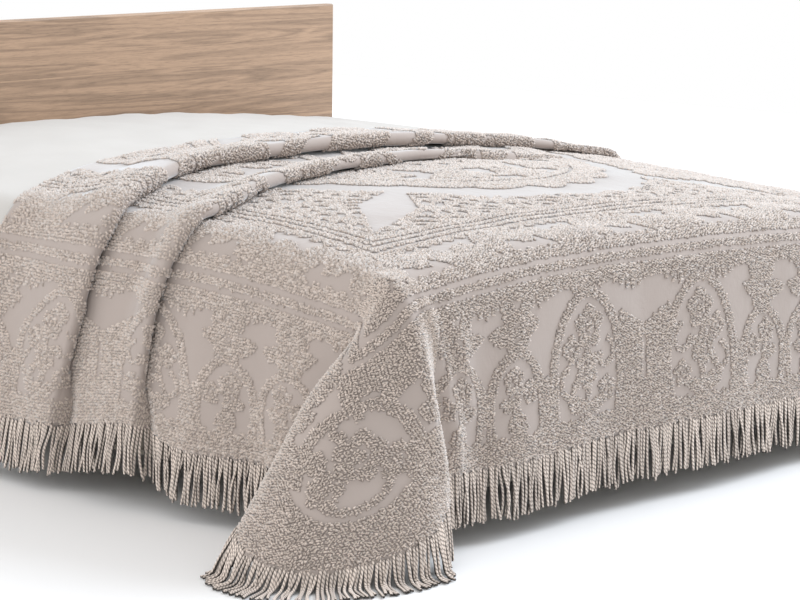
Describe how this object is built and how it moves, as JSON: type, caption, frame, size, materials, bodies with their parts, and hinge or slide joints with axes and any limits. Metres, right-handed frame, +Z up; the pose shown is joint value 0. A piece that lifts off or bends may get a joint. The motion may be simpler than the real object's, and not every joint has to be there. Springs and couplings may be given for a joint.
{
  "type": "chenille bedspread on a bed",
  "caption": "Tufted chenille bedspread with a long cord fringe, draped over a plain bed in two soft pleats, with its foot corners hanging to the floor in broad cones.",
  "frame": {"origin": "on the floor, under the middle of the whole object's box", "axes": "+X from the near long side of the bed to the far one, +Y from its foot to its headboard, +Z up"},
  "size_m": [2.568, 2.363, 0.853],
  "materials": {
    "chenille": "plain cotton ground with soft cut tufts, matte, pale pinkish beige",
    "cord": "twisted cotton cord, matte, pale pinkish beige",
    "mattress_cover": "smooth white fitted cotton cover, matte",
    "base_fabric": "plain woven upholstery, matte",
    "oak": "light oak, satin"
  },
  "bodies": {
    "root": {"bedspread": "chenille", "fringe": "cord", "mattress": "mattress_cover", "bed_base": "base_fabric", "headboard": "oak", "headboard_post_near": "oak", "headboard_post_far": "oak", "leg_foot_near": "oak", "leg_foot_far": "oak", "leg_head_near": "oak", "leg_head_far": "oak"}
  },
  "joints": []
}
